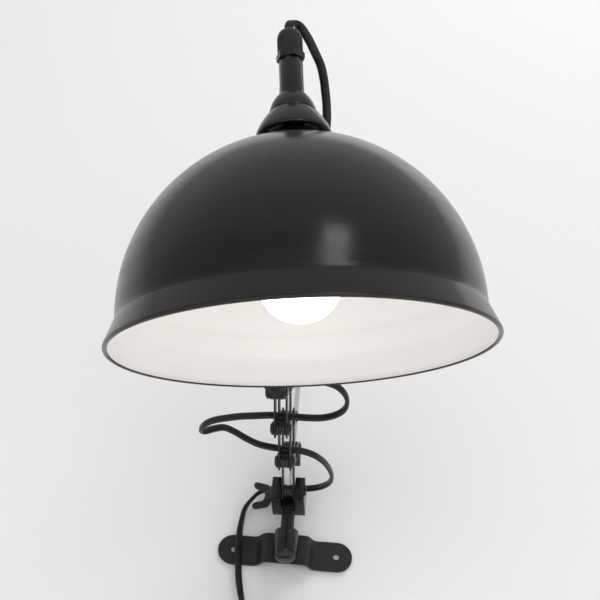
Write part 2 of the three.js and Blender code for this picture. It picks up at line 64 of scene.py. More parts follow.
class Slot(Enum):
    """Material slots of the record."""

    ENAMEL = "black_enamel"
    STEEL = "black_steel"
    CHROME = "chrome"
    ZINC = "zinc"
    PLASTIC = "black_plastic"
    OPAL = "opal_glass"
    FLEX = "cord_pvc"


# ---- surfaces -------------------------------------------------------------------------------------
@dataclass
class Surface:
    """Vertices in millimetres with quads and triangles, and the finish number of each face."""

    points: np.ndarray
    quads: np.ndarray
    tris: np.ndarray
    quad_finish: Optional[np.ndarray] = None
    along: Optional[np.ndarray] = None

    def outward(self) -> "Surface":
        """Turns the faces of this closed shell outwards, by the sign of its volume.

        Returns:
            The same surface, with its faces reversed where the volume was negative.
        """
        p = self.points - self.points.mean(0)
        t = np.concatenate([self.quads[:, [0, 1, 2]], self.quads[:, [0, 2, 3]], self.tris])
        volume = np.einsum("ij,ij->i", p[t[:, 0]], np.cross(p[t[:, 1]], p[t[:, 2]])).sum()
        if volume < 0:
            self.quads, self.tris = self.quads[:, ::-1], self.tris[:, ::-1]
        return self

    def placed(self, matrix: np.ndarray) -> "Surface":
        """Moves every vertex by a 4 by 4 matrix.

        Args:
            matrix: Rotation and shift in millimetres.

        Returns:
            The same surface, moved.
        """
        self.points = self.points @ matrix[:3, :3].T + matrix[:3, 3]
        return self


NO_QUADS, NO_TRIS = np.zeros((0, 4), int), np.zeros((0, 3), int)


def joined(*parts: Surface) -> Surface:
    """Puts several closed shells in one surface.

    Args:
        parts: The shells.

    Returns:
        One surface holding them all.
    """
    start = np.cumsum([0] + [len(s.points) for s in parts[:-1]])
    return Surface(
        np.concatenate([s.points for s in parts]),
        np.concatenate([s.quads + k for s, k in zip(parts, start)]),
        np.concatenate([s.tris + k for s, k in zip(parts, start)]),
    )


def grid(rows: int, columns: int) -> np.ndarray:
    """Quads of a grid whose columns close on themselves.

    Args:
        rows: Number of rows.
        columns: Vertices in each row.

    Returns:
        Vertex numbers, four to a quad.
    """
    i, j = np.meshgrid(np.arange(rows - 1), np.arange(columns), indexing="ij")
    k = (j + 1) % columns
    quads = np.stack([i * columns + j, i * columns + k, (i + 1) * columns + k, (i + 1) * columns + j], -1)
    return quads.reshape(-1, 4)


def smooth(points: Sequence[Sequence[float]], per_span: int = 8) -> np.ndarray:
    """Centripetal Catmull-Rom curve through points.

    Each span blends four neighbours, with knots the square root of their distance apart, and the two
    end neighbours are the end points mirrored outwards.

    Args:
        points: Points of any dimension.
        per_span: Samples in each span.

    Returns:
        The samples, the last point among them.
    """
    p = np.asarray(points, float)
    p = np.concatenate([[2 * p[0] - p[1]], p, [2 * p[-1] - p[-2]]])
    knot = np.concatenate([[0], np.cumsum(np.linalg.norm(np.diff(p, axis=0), axis=1) ** 0.5)])
    a, b, c, d = (p[k : len(p) - 3 + k][:, None] for k in range(4))
    ta, tb, tc, td = (knot[k : len(p) - 3 + k][:, None, None] for k in range(4))
    t = tb + (tc - tb) * np.linspace(0, 1, per_span, endpoint=False)[None, :, None]
    ab, bc, cd = (
        ((hi - t) * p0 + (t - lo) * p1) / (hi - lo)
        for p0, p1, lo, hi in ((a, b, ta, tb), (b, c, tb, tc), (c, d, tc, td))
    )
    abc, bcd = ((tc - t) * ab + (t - ta) * bc) / (tc - ta), ((td - t) * bc + (t - tb) * cd) / (td - tb)
    curve = ((tc - t) * abc + (t - tb) * bcd) / (tc - tb)
    return np.concatenate([curve.reshape(-1, p.shape[1]), p[-2:-1]])


def rounded(points: Sequence[Sequence[float]], radius: float, closed: bool = True,
            steps: int = 5) -> np.ndarray:
    """Outline with its corners rounded by quadratic curves whose middle control point is the corner.

    Args:
        points: Corners.
        radius: Distance from each corner at which its curve starts and ends.
        closed: Whether the last corner joins the first.
        steps: Samples on each corner.

    Returns:
        The outline's points in order.
    """
    p = np.asarray(points, float)
    before, after = np.roll(p, 1, 0) - p, np.roll(p, -1, 0) - p
    size_b, size_a = (np.linalg.norm(v, axis=1, keepdims=True) for v in (before, after))
    first = p + before / size_b * np.minimum(radius, size_b * 0.49)
    last = p + after / size_a * np.minimum(radius, size_a * 0.49)
    t = np.linspace(0, 1, steps)[None, :, None]
    curve = (1 - t) ** 2 * first[:, None] + 2 * t * (1 - t) * p[:, None] + t**2 * last[:, None]
    if closed:
        return curve.reshape(-1, p.shape[1])
    return np.concatenate([p[:1], curve[1:-1].reshape(-1, p.shape[1]), p[-1:]])


def circle(radius: float, steps: int = 32, centre: Sequence[float] = (0, 0)) -> np.ndarray:
    """Points of a circle, counterclockwise."""
    angle = np.linspace(0, 2 * np.pi, steps, endpoint=False)
    return np.stack([centre[0] + radius * np.cos(angle), centre[1] + radius * np.sin(angle)], -1)


def turned(profile: Sequence[Sequence[float]], segments: int = 48, swell: Optional[np.ndarray] = None,
           closed: bool = False) -> Surface:
    """Surface of revolution about Z: point (a, i) is the profile's point i turned by angle a.

    Args:
        profile: Points of radius and height.
        segments: Steps round the axis.
        swell: Factor on the radius for each profile point and step, or nothing.
        closed: Whether the profile is a ring that closes on itself.

    Returns:
        The closed surface.
    """
    p = np.asarray(profile, float)
    if closed:
        p = np.concatenate([p, p[:1]])
        swell = None if swell is None else np.concatenate([swell, swell[:1]])
    angle = np.linspace(0, 2 * np.pi, segments, endpoint=False)
    radius = p[:, :1] * (1 if swell is None else swell)
    shape = (len(p), segments)
    height = np.broadcast_to(p[:, 1:], shape)
    points = np.stack([radius * np.cos(angle), radius * np.sin(angle), height], -1)
    length = np.concatenate([[0], np.cumsum(np.linalg.norm(np.diff(p, axis=0), axis=1))])
    along = np.repeat(length, segments)
    return Surface(points.reshape(-1, 3), grid(*shape), NO_TRIS, along=along).outward()


def swept(centres: np.ndarray, wide: np.ndarray, section: np.ndarray) -> Surface:
    """Section carried along a line: point (s, a) is centre(s) + wide(s) x(a) + thin(s) y(a).

    Args:
        centres: Points of the line.
        wide: A rough direction of the section's first axis at each point, squared to the line here.
        section: Points of the section.

    Returns:
        The closed tube, its ends fanned from their middles.
    """
    tangent = np.gradient(centres, axis=0)
    tangent /= np.linalg.norm(tangent, axis=1, keepdims=True)
    wide = wide - (wide * tangent).sum(1, keepdims=True) * tangent
    wide /= np.linalg.norm(wide, axis=1, keepdims=True)
    thin = np.cross(tangent, wide)
    points = centres[:, None] + wide[:, None] * section[None, :, :1] + thin[:, None] * section[None, :, 1:]
    rows, n = len(centres), len(section)
    ring = np.arange(n)
    first, last = rows * n, rows * n + 1
    caps = [np.stack([np.roll(ring, -1), ring, np.full(n, first)], -1),
            np.stack([ring, np.roll(ring, -1), np.full(n, last)], -1) + [(rows - 1) * n, (rows - 1) * n, 0]]
    step = np.linalg.norm(np.diff(centres, axis=0), axis=1)
    along = np.concatenate([np.repeat(np.concatenate([[0], np.cumsum(step)]), n), [0, step.sum()]])
    body = np.concatenate([points.reshape(-1, 3), centres[:1], centres[-1:]])
    return Surface(body, grid(rows, n), np.concatenate(caps), along=along).outward()


def plate(outline: np.ndarray, depth: float, holes: Sequence[np.ndarray] = (),
          folds: Sequence[np.ndarray] = ()) -> Surface:
    """Flat outline with holes given a thickness along Z, half to each side of zero.

    The face between the outline and the holes is a constrained triangulation, and the sides join its
    copy above to its copy below along every edge that one triangle alone uses.

    Args:
        outline: Points of the outer edge.
        depth: Thickness.
        holes: Outlines of the holes, each convex.
        folds: Pairs of points that the triangles' edges follow.

    Returns:
        The closed plate.
    """
    loops = [outline, *holes]
    flat = np.concatenate([*loops, *folds])
    starts = np.cumsum([0] + [len(l) for l in loops])
    edges = np.concatenate(
        [np.stack([np.arange(len(l)), (np.arange(len(l)) + 1) % len(l)], -1) + s
         for l, s in zip(loops, starts)]
        + [np.array([[0, 1]]) + starts[-1] + 2 * k for k in range(len(folds))])
    verts, _, faces, *_ = delaunay_2d_cdt([tuple(v) for v in flat], edges.tolist(), [], 1, 1e-6)
    face, corner = np.array([tuple(f) for f in faces]), np.array([tuple(v) for v in verts])
    middle = corner[face].mean(1)
    keep = np.ones(len(face), bool)
    for hole in holes:
        side = np.roll(hole, -1, 0) - hole
        rel = middle[:, None] - hole[None]
        turn = side[None, :, 0] * rel[..., 1] - side[None, :, 1] * rel[..., 0]
        keep &= ~((turn > 0).all(1) | (turn < 0).all(1))
    face = face[keep]
    used, face = np.unique(face, return_inverse=True)
    face, corner = face.reshape(-1, 3), corner[used]
    spin = np.cross(corner[face[:, 1]] - corner[face[:, 0]], corner[face[:, 2]] - corner[face[:, 0]])
    face = np.where(spin[:, None] < 0, face[:, ::-1], face)
    sides = np.concatenate([face[:, [0, 1]], face[:, [1, 2]], face[:, [2, 0]]])
    twin = {tuple(e) for e in sides[:, ::-1].tolist()}
    rim = np.array([e for e in sides.tolist() if tuple(e) not in twin])
    n = len(corner)
    points = np.concatenate([np.c_[corner, np.full(n, depth / 2)], np.c_[corner, np.full(n, -depth / 2)]])
    walls = np.stack([rim[:, 1], rim[:, 0], rim[:, 0] + n, rim[:, 1] + n], -1)
    return Surface(points, walls, np.concatenate([face, face[:, ::-1] + n])).outward()


def lofted(heights: np.ndarray, half_wide: np.ndarray, half_deep: np.ndarray, power: float = 3.2,
           segments: int = 56) -> Surface:
    """Superellipse section that changes with height: |x/w|^p + |y/d|^p = 1.

    Args:
        heights: Height of each row.
        half_wide: Half width along X of each row.
        half_deep: Half depth along Y of each row.
        power: Roundness of the section, 2 for an ellipse.
        segments: Steps round the section.

    Returns:
        The closed form, its first and last rows drawn to points.
    """
    angle = np.linspace(0, 2 * np.pi, segments, endpoint=False)
    c, s = np.cos(angle), np.sin(angle)
    x = np.sign(c) * np.abs(c) ** (2 / power)
    y = np.sign(s) * np.abs(s) ** (2 / power)
    h, w, d = (np.concatenate([v[:1], v, v[-1:]]) for v in (heights, half_wide, half_deep))
    w[[0, -1]], d[[0, -1]] = 0, 0
    points = np.stack([w[:, None] * x, d[:, None] * y, np.broadcast_to(h[:, None], (len(h), segments))], -1)
    return Surface(points.reshape(-1, 3), grid(len(h), segments), NO_TRIS).outward()


# ---- places -----------------------------------------------------------------------------------------
def shift(x: float, y: float, z: float) -> np.ndarray:
    """Matrix that moves by x, y and z."""
    matrix = np.eye(4)
    matrix[:3, 3] = x, y, z
    return matrix


def turn(degrees: float, axis: str) -> np.ndarray:
    """Matrix that turns about an axis through the origin."""
    return np.array(Matrix.Rotation(np.radians(degrees), 4, axis))


def from_axes(x: Sequence[float], y: Sequence[float], z: Sequence[float],
              at: Sequence[float]) -> np.ndarray:
    """Matrix with the given axes and origin."""
    matrix = np.eye(4)
    matrix[:3, 0], matrix[:3, 1], matrix[:3, 2], matrix[:3, 3] = x, y, z, at
    return matrix


POST_Y = -25.0
ARM = shift(0, POST_Y, 0) @ turn(-5.5, "Z") @ shift(0, -POST_Y, 0)
ALONG_X = turn(90, "Y")  # carries the Z axis to X
OUTLINE_YZ = from_axes((0, 1, 0), (0, 0, 1), (1, 0, 0), (0, 0, 0))  # plate drawn in Y and Z


def head_place() -> np.ndarray:
    """Matrix from the head's own frame, with its axis upright and the rim at zero, to the lamp's."""
    up = np.array([-np.tan(np.radians(7.24)), -np.tan(np.radians(22.83)), 1])
    up /= np.linalg.norm(up)
    back = np.array([0, 1, 0]) - up * up[1]
    back /= np.linalg.norm(back)
    return from_axes(np.cross(back, up), back, up, (0, -366.3, -17.6))


HEAD = head_place()


# ---- finishes ---------------------------------------------------------------------------------------
class Nodes:
    """Short calls for one material's node tree."""

    def __init__(self, name: str) -> None:
        """Makes an empty material with an output."""
        self.material = bpy.data.materials.new(name)
        self.material.use_nodes = True
        self.tree = self.material.node_tree
        self.tree.nodes.clear()
        self.output = self.tree.nodes.new("ShaderNodeOutputMaterial")

    def add(self, kind: str, inputs: Optional[dict] = None, **settings) -> bpy.types.Node:
        """Adds a node.

        Args:
            kind: Blender's name of the node.
            inputs: Socket name or number to a value, or to an output socket to link.
            settings: Properties of the node.

        Returns:
            The node.
        """
        node = self.tree.nodes.new(kind)
        for key, value in settings.items():
            setattr(node, key, value)
        for key, value in (inputs or {}).items():
            if isinstance(value, bpy.types.NodeSocket):
                self.tree.links.new(value, node.inputs[key])
            else:
                node.inputs[key].default_value = value
        return node

    def object_point(self) -> bpy.types.NodeSocket:
        """The Object coordinates' socket."""
        return self.add("ShaderNodeTexCoord").outputs["Object"]

    def noise(self, vector: bpy.types.NodeSocket, scale: float, detail: float = 3, rough: float = 0.55):
        """A noise value from 0 to 1."""
        node = self.add("ShaderNodeTexNoise", {"Vector": vector, "Scale": scale, "Detail": detail,
                                               "Roughness": rough})
        return node.outputs["Fac"]

    def span(self, value: bpy.types.NodeSocket, low: float, high: float, start: float = 0.3,
             end: float = 0.7):
        """Maps a value from start..end onto low..high."""
        node = self.add("ShaderNodeMapRange", {"Value": value, "From Min": start, "From Max": end,
                                               "To Min": low, "To Max": high})
        return node.outputs["Result"]

    def tint(self, value: bpy.types.NodeSocket, dark: Sequence[float], light: Sequence[float]):
        """Colour between two as the value goes from 0 to 1."""
        node = self.add("ShaderNodeMix", {"Factor": value}, data_type="RGBA")
        first, second = (s for s in node.inputs if s.type == "RGBA")
        first.default_value, second.default_value = (*dark, 1), (*light, 1)
        return next(s for s in node.outputs if s.type == "RGBA")

    def bump(self, height: bpy.types.NodeSocket, distance: float, strength: float = 1.0):
        """Normal socket of a bump of that depth in metres."""
        node = self.add("ShaderNodeBump", {"Height": height, "Distance": distance, "Strength": strength})
        return node.outputs["Normal"]

    def shader(self, **inputs) -> bpy.types.Material:
        """Ends the tree with a Principled shader.

        Args:
            inputs: Socket names with underscores for spaces, to values or sockets.

        Returns:
            The material.
        """
        node = self.add("ShaderNodeBsdfPrincipled", {k.replace("_", " "): v for k, v in inputs.items()})
        self.tree.links.new(node.outputs["BSDF"], self.output.inputs["Surface"])
        return self.material


@dataclass(frozen=True)
class CoatedMetal:
    """Painted or plated metal with uneven sheen, orange peel and dust-worn patches."""

    name: str
    dark: tuple
    light: tuple
    rough: tuple
    metallic: float = 0.0
    peel: float = 2.0e-5
    peel_scale: float = 420.0
    specular: float = 0.5

    def make(self) -> bpy.types.Material:
        """Builds the material.

        Returns:
            The finish, patterned on Object coordinates.
        """
        n = Nodes(self.name)
        point = n.object_point()
        cloud, grain = n.noise(point, 38, 5), n.noise(point, self.peel_scale, 2)
        mixed = n.add("ShaderNodeMath", {0: cloud, 1: grain}, operation="ADD").outputs[0]
        rough = n.span(mixed, *self.rough, start=0.75, end=1.25)
        return n.shader(Base_Color=n.tint(cloud, self.dark, self.light), Roughness=rough,
                        Metallic=self.metallic, Normal=n.bump(grain, self.peel),
                        Specular_IOR_Level=self.specular)


@dataclass(frozen=True)
class SpunEnamel:
    """Gloss enamel over a spun shell: fine rings round the axis show in the sheen and the surface."""

    name: str
    dark: tuple
    light: tuple
    rough: tuple
    ring: float = 1.4e-5

    def make(self) -> bpy.types.Material:
        """Builds the material.

        The rings are noise on the length along the profile, stretched out round the axis.

        Returns:
            The finish, patterned on the piece's spin attribute and Object coordinates.
        """
        n = Nodes(self.name)
        point = n.object_point()
        spin = n.add("ShaderNodeAttribute", attribute_name="spin").outputs["Fac"]
        slow = n.add("ShaderNodeVectorMath", {0: point, "Scale": 5.0}, operation="SCALE").outputs[0]
        fast = n.add("ShaderNodeMath", {0: spin, 1: 900.0}, operation="MULTIPLY").outputs[0]
        lift = n.add("ShaderNodeCombineXYZ", {"Z": fast}).outputs[0]
        ringed = n.add("ShaderNodeVectorMath", {0: slow, 1: lift}, operation="ADD").outputs[0]
        rings = n.noise(ringed, 1.0, 4, 0.65)
        broad = n.noise(n.add("ShaderNodeVectorMath", {0: ringed, "Scale": 0.13},
                              operation="SCALE").outputs[0], 1, 3)
        cloud, grain = n.noise(point, 16, 4), n.noise(point, 380, 2)
        streak = n.add("ShaderNodeMath", {0: rings, 1: broad}, operation="ADD").outputs[0]
        patch = n.add("ShaderNodeMath", {0: streak, 1: cloud}, operation="ADD").outputs[0]
        rough = n.span(patch, *self.rough, start=1.1, end=1.9)
        height = n.add("ShaderNodeMath", {0: streak, 1: grain}, operation="ADD").outputs[0]
        return n.shader(Base_Color=n.tint(n.span(streak, 0, 1, 0.7, 1.3), self.dark, self.light),
                        Roughness=rough, Normal=n.bump(height, self.ring))


@dataclass(frozen=True)
class Moulded:
    """Moulded plastic or flex jacket: fine grain, faint mottling and handling shine."""

    name: str
    dark: tuple
    light: tuple
    rough: tuple
    grain: float = 900.0
    depth: float = 3.0e-5
    specular: float = 0.5

    def make(self) -> bpy.types.Material:
        """Builds the material.

        Returns:
            The finish, patterned on Object coordinates.
        """
        n = Nodes(self.name)
        point = n.object_point()
        cloud, grain = n.noise(point, 55, 4), n.noise(point, self.grain, 3)
        return n.shader(Base_Color=n.tint(n.span(cloud, 0, 1), self.dark, self.light),
                        Specular_IOR_Level=self.specular,
                        Roughness=n.span(cloud, *self.rough), Normal=n.bump(grain, self.depth))


@dataclass(frozen=True)
class LitOpal:
    """Opal bulb glass that is switched on."""

    name: str = "lit_opal_glass"
    glow: float = 3.1

    def make(self) -> bpy.types.Material:
        """Builds the material.

        Returns:
            The finish, a little brighter in the ball than at the neck.
        """
        n = Nodes(self.name)
        cloud = n.noise(n.object_point(), 30, 3)
        warm = n.tint(n.span(cloud, 0, 1), (1.0, 0.955, 0.89), (1.0, 0.975, 0.93))
        return n.shader(Base_Color=warm, Roughness=n.span(cloud, 0.22, 0.34), Emission_Color=warm,
                        Emission_Strength=self.glow)


class Finish(Enum):
    """Every finish on the lamp."""

    DOME = SpunEnamel("dome_black_enamel", (0.0035, 0.0035, 0.0036), (0.0075, 0.0075, 0.0075), (0.13, 0.30))
    LINING = SpunEnamel("dome_white_lining", (0.83, 0.82, 0.80), (0.88, 0.87, 0.86), (0.30, 0.42), 6e-6)
    ENAMEL = CoatedMetal("black_gloss_enamel", (0.004, 0.004, 0.0042), (0.010, 0.010, 0.010), (0.12, 0.28))
    STEEL = CoatedMetal("black_oxide_steel", (0.007, 0.007, 0.0075), (0.018, 0.018, 0.018), (0.28, 0.46),
                        peel=4e-5)
    CHROME = CoatedMetal("bright_chrome", (0.72, 0.73, 0.75), (0.84, 0.84, 0.85), (0.03, 0.11), 1.0, 4e-6,
                         700)
    ZINC = CoatedMetal("zinc_plate", (0.40, 0.41, 0.43), (0.60, 0.60, 0.61), (0.24, 0.42), 1.0, 2e-5, 800)
    PLASTIC = Moulded("black_moulding", (0.006, 0.006, 0.0065), (0.013, 0.013, 0.013), (0.30, 0.46))
    FLEX = Moulded("flex_jacket", (0.005, 0.005, 0.0055), (0.011, 0.011, 0.011), (0.26, 0.42), 500, 2.5e-5)
    OPAL = LitOpal()

    @property
    def slot(self) -> Slot:
        """The record's slot of the finish; both sides of the dome share the enamel's."""
        return Slot.__members__.get(self.name, Slot.ENAMEL)

    def material(self) -> bpy.types.Material:
        """The finish's one material, made the first time it is asked for."""
        return bpy.data.materials.get(self.value.name) or self.value.make()


def piece(name: str, surface: Surface, body: Optional[str], finishes: Sequence[Finish],
          nodes: Sequence[str], bevel: float = 0.0, sharp: float = 38.0) -> bpy.types.Object:
    """Puts a surface in the scene as a finished piece.

    Args:
        name: The piece's name.
        surface: Its surface in millimetres.
        body: The body it rides on, or nothing, where it is left unattached.
        finishes: Its finishes, in the order of the surface's finish numbers.
        nodes: CAD nodes that it stands for.
        bevel: Width of its edge rounding, or 0.
        sharp: Angle in degrees over which an edge stays sharp.

    Returns:
        The object.
    """
    mesh = bpy.data.meshes.new(name)
    faces = surface.quads.tolist() + surface.tris.tolist()
    mesh.from_pydata((surface.points * MM).tolist(), [], faces)
    if surface.along is not None:
        spin = mesh.attributes.new("spin", "FLOAT", "POINT")
        spin.data.foreach_set("value", (surface.along * MM).astype(np.float32))
    if surface.quad_finish is not None:
        numbers = np.concatenate([surface.quad_finish, np.zeros(len(surface.tris), int)])
        mesh.polygons.foreach_set("material_index", numbers.astype(np.int32))
    work = bmesh.new()
    work.from_mesh(mesh)
    bmesh.ops.remove_doubles(work, verts=work.verts, dist=2e-6)
    bmesh.ops.dissolve_degenerate(work, edges=work.edges, dist=1e-7)
    work.to_mesh(mesh)
    work.free()
    mesh.shade_smooth()
    mesh.set_sharp_from_angle(angle=np.radians(sharp))
    obj = bpy.data.objects.new(name, mesh)
    bpy.context.scene.collection.objects.link(obj)
    for finish in finishes:
        mesh.materials.append(finish.material())
    if bevel:
        edge = obj.modifiers.new("edge", "BEVEL")
        edge.width, edge.segments, edge.limit_method = bevel * MM, 2, "ANGLE"
        edge.angle_limit = np.radians(40)
    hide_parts(*nodes)
    if body:
        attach(obj, body)
    log.info("%s: %d vertices on %s", name, len(mesh.vertices), body)
    return obj


# ---- camera and flex --------------------------------------------------------------------------------
@dataclass
class Camera:
    """Low camera that looks up at the wall, a little rolled."""

    place: tuple = (-4.81, -918.93, -414.16)
    pitch: float = 38.54
    roll: float = 4.48
    lens: float = 60.0

    def build(self) -> None:
        """Adds the camera and makes it the scene's."""
        pitch, roll = np.radians(self.pitch), np.radians(self.roll)
        right, up = np.array([1.0, 0, 0]), np.array([0, -np.sin(pitch), np.cos(pitch)])
        ahead = np.array([0, np.cos(pitch), np.sin(pitch)])
        data = bpy.data.cameras.new("camera")
        data.lens, data.sensor_width, data.clip_start, data.clip_end = self.lens, 36.0, 0.02, 50.0
        obj = bpy.data.objects.new("camera", data)
        bpy.context.scene.collection.objects.link(obj)
        matrix = from_axes(right * np.cos(roll) + up * np.sin(roll),
                           up * np.cos(roll) - right * np.sin(roll),
                           -ahead, np.array(self.place) * MM)
        obj.matrix_world = Matrix(matrix.tolist())
        bpy.context.scene.camera = obj


@dataclass
class Flex:
    """Flat two-core flex from the gland to the plug, in three lengths that meet on the arm."""

    width: float = 6.8
    thick: float = 4.2
    step: float = 1.9
    coil_centre: tuple = (4.0, -9.0, -108.0)
    coil_turns: int = 5
    blend_start: tuple = (0.0, -0.400, 0.172)
    fold_anchor: tuple = (0.0, -0.030, 0.08)
    fold_keep: float = 0.34
    head: tuple = (
        (-28.4, -460.2, 205.6), (-29, -461.8, 209.4), (-27.5, -461.8, 214), (-22, -458.5, 216),
        (-15, -452.5, 211), (-8, -444, 203.5), (-3, -436, 199), (0, -428, 194), (2, -420, 189),
        (4, -411, 182), (5, -400, 172), (3, -384, 159), (-5, -356, 145), (-16, -320, 128),
        (-27, -280, 110), (-37, -248, 98), (-42, -220, 91), (-39, -200, 87), (-31, -188, 85.4))
    arm: tuple = (
        (-27.5, -186, 85), (-15.4, -185.2, 84.4), (-4, -186, 84.2), (9, -187, 82), (21, -187.5, 79),
        (33, -186, 76.5), (41, -180, 73), (44, -172, 70), (42, -164.5, 66.5), (35, -159.5, 63.5),
        (24, -157, 61), (12, -156.6, 60), (0, -156.4, 60), (-12.7, -156.4, 60), (-24, -156.4, 59.6),
        (-36.3, -155.5, 58.5), (-49, -153.5, 58), (-61.5, -150.5, 57), (-74, -146, 56), (-82, -139.5, 55),
        (-85.3, -131, 55), (-82.5, -122.5, 58.5), (-75, -117.5, 64.5), (-66, -114.5, 68.5),
        (-56, -111, 67), (-45, -106.5, 63.5), (-33, -102, 61), (-20, -99.5, 60.2), (-7.1, -98.7, 60),
        (5, -98, 60), (17.4, -94, 59.5), (27.5, -84, 59.8), (34.6, -70, 60.5), (39, -54, 61.5),
        (39.5, -40, 63), (36, -28, 64.5), (28, -17.5, 66), (15.8, -10.5, 67), (7, -8.9, 66.8),
        (0, -8.5, 66.6))
    drop: tuple = (
        (-12, -8.6, 66), (-21, -9, 64), (-30, -9, 60), (-37, -9, 52), (-43, -9, 41), (-45, -8, 30),
        (-46, -7.5, 17), (-46, -6.8, -2), (-44, -6.5, -19), (-42, -6.5, -33), (-38, -6.5, -50),
        (-34.6, -7, -63), (-33.5, -7.2, -74))
    tail: tuple = ((-42, -9, -117), (-45, -9.2, -122.5), (-48.8, -9.1, -127.5), (-50, -9, -134.5))

    def coil(self) -> np.ndarray:
        """Turns of the stored flex.

        The angle grows evenly. The radius falls over two turns against the wall, the third turn steps out
        from the wall, and the radius grows again over the last two.

        Returns:
            The route's points.
        """
        turns = np.linspace(-0.02, self.coil_turns, 20 * self.coil_turns + 1)
        angle = np.pi + 2 * np.pi * turns
        radius = np.interp(turns, [0, 2, 3, 5], [40.5, 31.5, 31.5, 40.5])
        layer = np.interp(turns, [2.0, 2.9], [3.4, -3.4])
        outward = np.stack([np.cos(angle), 0 * angle, np.sin(angle)], -1)
        centre = np.array(self.coil_centre)
        return centre + radius[:, None] * outward + layer[:, None] * [0, 1, 0]

    def route(self) -> tuple:
        """Whole centreline and the direction of its wide axis.

        Returns:
            The points, the wide axis at each, and the row where each length starts.
        """
        turns = self.coil()
        control = np.concatenate([self.head, self.arm, self.drop, turns, self.tail]).astype(float)
        counts = np.cumsum([len(self.head), len(self.arm), len(self.drop), len(turns)])
        drop = counts[1]
        hints = {0: (1, 0.1, 0), 4: (1, -0.3, 0), 12: (1, 0, 0), 15: (0.8, 0, 0.6), 17: (0, 0, 1),
                 drop - 3: (0, 0, 1), drop + 3: (0.2, 0.75, 0.7), drop + 5: (0.5, 0.85, 0.3),
                 drop + 7: (0.85, 0.5, 0), drop + 9: (0.9, 0.4, 0), counts[2] - 1: (0.05, 1, 0),
                 len(control) - 1: (0, 1, 0)}
        keys = np.array(sorted(hints))
        values = np.array([hints[k] for k in sorted(hints)], float)
        wide = np.stack([np.interp(np.arange(len(control)), keys, values[:, k]) for k in range(3)], -1)
        fine = smooth(control, 12)
        place = np.linspace(0, len(control) - 1, len(fine))
        length = np.concatenate([[0], np.cumsum(np.linalg.norm(np.diff(fine, axis=0), axis=1))])
        even = np.linspace(0, length[-1], int(length[-1] / self.step) + 1)
        centres = np.stack([np.interp(even, length, fine[:, k]) for k in range(3)], -1)
        at = np.interp(even, length, place)
        axis = np.stack([np.interp(at, np.arange(len(control)), wide[:, k]) for k in range(3)], -1)
        cuts = [0, int(np.searchsorted(at, counts[0] - 0.5)), int(np.searchsorted(at, counts[1] - 0.5)),
                len(at) - 1]
        return centres, axis, cuts

    def section(self) -> np.ndarray:
        """Two round cores side by side in one jacket: a superellipse with a shallow waist on each face."""
        angle = np.linspace(0, 2 * np.pi, 24, endpoint=False)
        c, s = np.cos(angle), np.sin(angle)
        waist = 1 - 0.07 * np.exp(-(c / 0.33) ** 2)
        x = self.width / 2 * np.sign(c) * np.abs(c) ** 0.86
        return np.stack([x, self.thick / 2 * np.sign(s) * np.abs(s) ** 0.8 * waist], -1)

    def build(self) -> None:
        centres, axis, cuts = self.route()
        on_cord = self.build_plug()
        joins = (("flex_head", None, "cord_head", "object", "hanging"),
                 ("flex_arm", "swing_block", "cord_arm", "object", "loose"),
                 ("flex_wall", "wall_base", "cord_drop", "plug", "coiled"))
        for (name, body, node, end, lay), first, last in zip(joins, cuts[:-1], cuts[1:]):
            line, wide = centres[first:last + 1], axis[first:last + 1]
            nodes = (node,) if end == "object" else (node, "cord_coil", "cord_tail")
            obj = piece(name, swept(line, wide, self.section()), body, [Finish.FLEX], nodes, sharp=80)
            if body is None:
                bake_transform(obj)
            if name == "flex_arm":
                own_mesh(obj)

    def build_plug(self) -> list:
        """Makes the coil's tie, the plug and its pins.

        Returns:
            The pieces that go with the flex.
        """
        height = np.array([0, 0.6, 2.5, 6, 9, 12, 15, 18, 24, 30, 33.5, 35.4, 36.0])
        wide = np.array([3.6, 4.4, 4.8, 5.6, 7.6, 11.6, 15.4, 17.2, 17.5, 17.5, 17.1, 15.6, 13.8])
        deep = np.array([2.6, 3.3, 3.6, 4.1, 4.9, 5.9, 6.6, 6.75, 6.75, 6.75, 6.4, 5.6, 4.4])
        body = lofted(-134 - height, wide, deep).placed(shift(-50, -9, 0))
        plug = piece("moulded_plug", body, "wall_base", [Finish.PLASTIC], ["plug_body"], sharp=70)
        made = [plug]
        pin = [[0, -170.3], [2, -170.3], [2, -187.6], [1.7, -188.6], [1.0, -189.2], [0, -189.3]]
        for side, name in ((-1, "left"), (1, "right")):
            rod = turned(pin, 28).placed(shift(-50 + side * 9.5, -9, 0))
            made.append(piece(f"plug_pin_round_{name}", rod, "wall_base", [Finish.ZINC],
                              [f"plug_pin_{name}"]))
        loop = rounded([(27.7, -8.4), (44.3, -8.4), (44.3, 8.4), (27.7, 8.4)], 3.5)
        inside = rounded([(28.7, -7.4), (43.3, -7.4), (43.3, 7.4), (28.7, 7.4)], 2.8)
        band = plate(loop, 8, [inside]).placed(shift(*self.coil_centre) @ turn(30, "Y"))
        made.append(piece("flex_tie", band, "wall_base", [Finish.PLASTIC], ["coil_tie"], 0.25))
        return made


